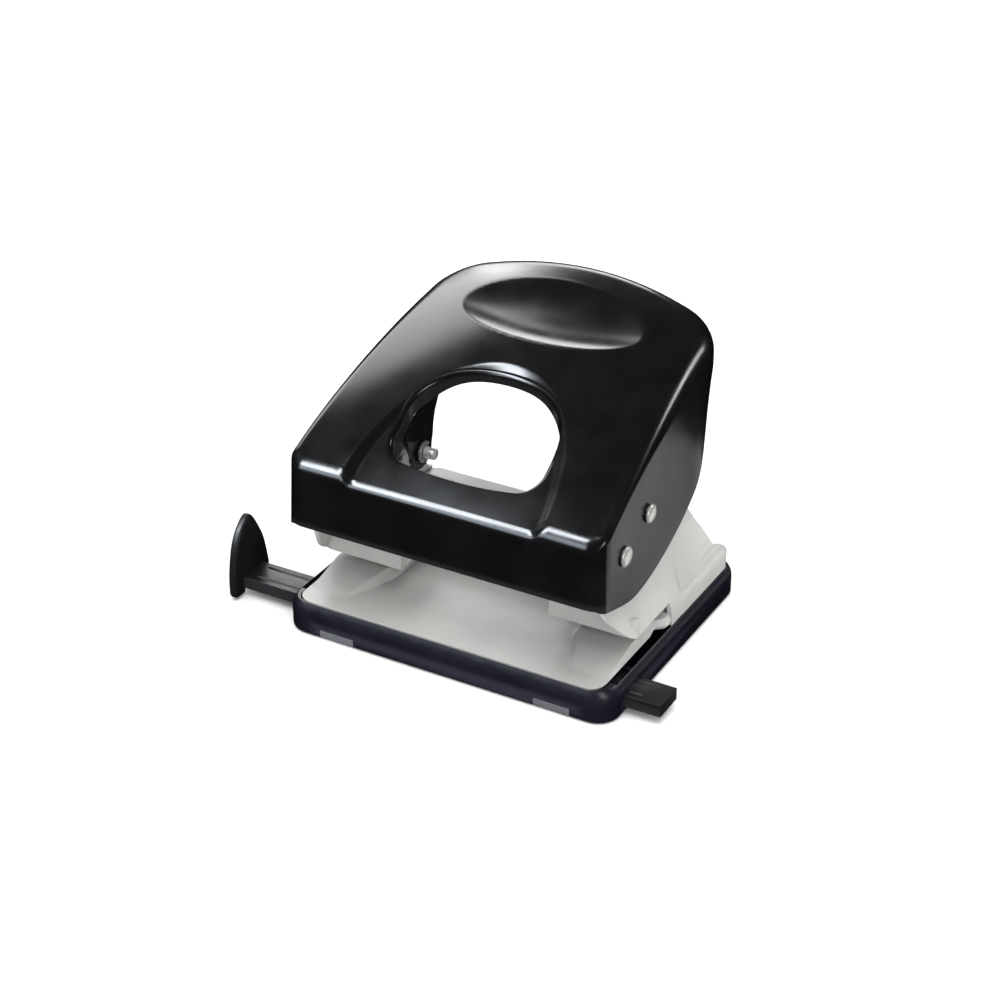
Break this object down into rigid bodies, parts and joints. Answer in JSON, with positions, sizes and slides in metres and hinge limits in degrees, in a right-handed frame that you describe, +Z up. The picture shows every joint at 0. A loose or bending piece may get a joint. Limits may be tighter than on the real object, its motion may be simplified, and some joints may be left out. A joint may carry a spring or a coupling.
{
  "type": "hole punch",
  "caption": "Two-hole desk punch: black pressed-steel lever handle with a finger opening and palm dish, grey steel base, dark chip tray and sliding paper guide bar.",
  "frame": {"origin": "on the surface the punch stands on, midway between the chip tray's sides and 46 mm behind its front edge", "axes": "+X to the user's right along the punch's width, +Y to the back away from the paper side, +Z up"},
  "size_m": [0.161, 0.1065, 0.1054],
  "materials": {
    "handle_black": "gloss black stove enamel on pressed steel",
    "frame_grey": "light grey satin enamel on pressed steel",
    "tray_plastic": "navy-black satin moulded plastic",
    "bar_plastic": "black semi-gloss moulded plastic",
    "foot_rubber": "grey anti-slip rubber",
    "pin_steel": "bright nickel-plated steel",
    "tool_steel": "ground hardened steel",
    "spring_steel": "drawn spring steel",
    "washer_plastic": "natural nylon"
  },
  "bodies": {
    "base": {"base_plate": "frame_grey", "frame_left": "frame_grey", "upper_guide_left": "frame_grey", "pivot_pin_left": "pin_steel", "pivot_ring_left": "spring_steel", "pivot_washer_left": "washer_plastic", "return_spring_left": "spring_steel", "frame_right": "frame_grey", "upper_guide_right": "frame_grey", "pivot_pin_right": "pin_steel", "pivot_ring_right": "spring_steel", "pivot_washer_right": "washer_plastic", "return_spring_right": "spring_steel", "base_rivet_left_1": "pin_steel", "base_rivet_left_2": "pin_steel", "guide_rivet_left_1": "pin_steel", "guide_rivet_left_2": "pin_steel", "base_rivet_right_1": "pin_steel", "base_rivet_right_2": "pin_steel", "guide_rivet_right_1": "pin_steel", "guide_rivet_right_2": "pin_steel"},
    "handle": {"handle": "handle_black", "drive_pin_left": "pin_steel", "drive_ring_left": "spring_steel", "drive_lug_left": "handle_black", "drive_pin_right": "pin_steel", "drive_ring_right": "spring_steel", "drive_lug_right": "handle_black"},
    "punch_left": {"punch_left": "tool_steel"},
    "punch_right": {"punch_right": "tool_steel"},
    "chip_tray": {"chip_tray": "tray_plastic", "rubber_foot_front_left": "foot_rubber", "rubber_foot_front_right": "foot_rubber", "rubber_foot_rear_left": "foot_rubber", "rubber_foot_rear_right": "foot_rubber"},
    "guide_bar": {"guide_bar": "bar_plastic"}
  },
  "joints": [
    {"name": "handle_press", "type": "hinge", "parent": "base", "child": "handle", "pos_m": [0, -0.0306, 0.0546], "axis": [-1, 0, 0], "range_deg": [0, 27], "stiffness_Nm_per_rad": 1, "springref_deg": -20.05},
    {"name": "punch_left_slide", "type": "slide", "parent": "base", "child": "punch_left", "axis": [0, 0, -1], "range_m": [0, 0.009], "deforming": ["return_spring_left"]},
    {"name": "punch_right_slide", "type": "slide", "parent": "base", "child": "punch_right", "axis": [0, 0, -1], "range_m": [0, 0.009], "deforming": ["return_spring_right"]},
    {"name": "chip_tray_hinge", "type": "hinge", "parent": "base", "child": "chip_tray", "pos_m": [0, 0.0495, 0.012], "axis": [1, 0, 0], "range_deg": [0, 70]},
    {"name": "guide_bar_slide", "type": "slide", "parent": "chip_tray", "child": "guide_bar", "axis": [1, 0, 0], "range_m": [-0.0645, 0.021]}
  ],
  "couplings": [
    {"joint": "punch_left_slide", "follows": "handle_press", "m_per_rad": 0.0186},
    {"joint": "punch_right_slide", "follows": "handle_press", "m_per_rad": 0.0186}
  ]
}
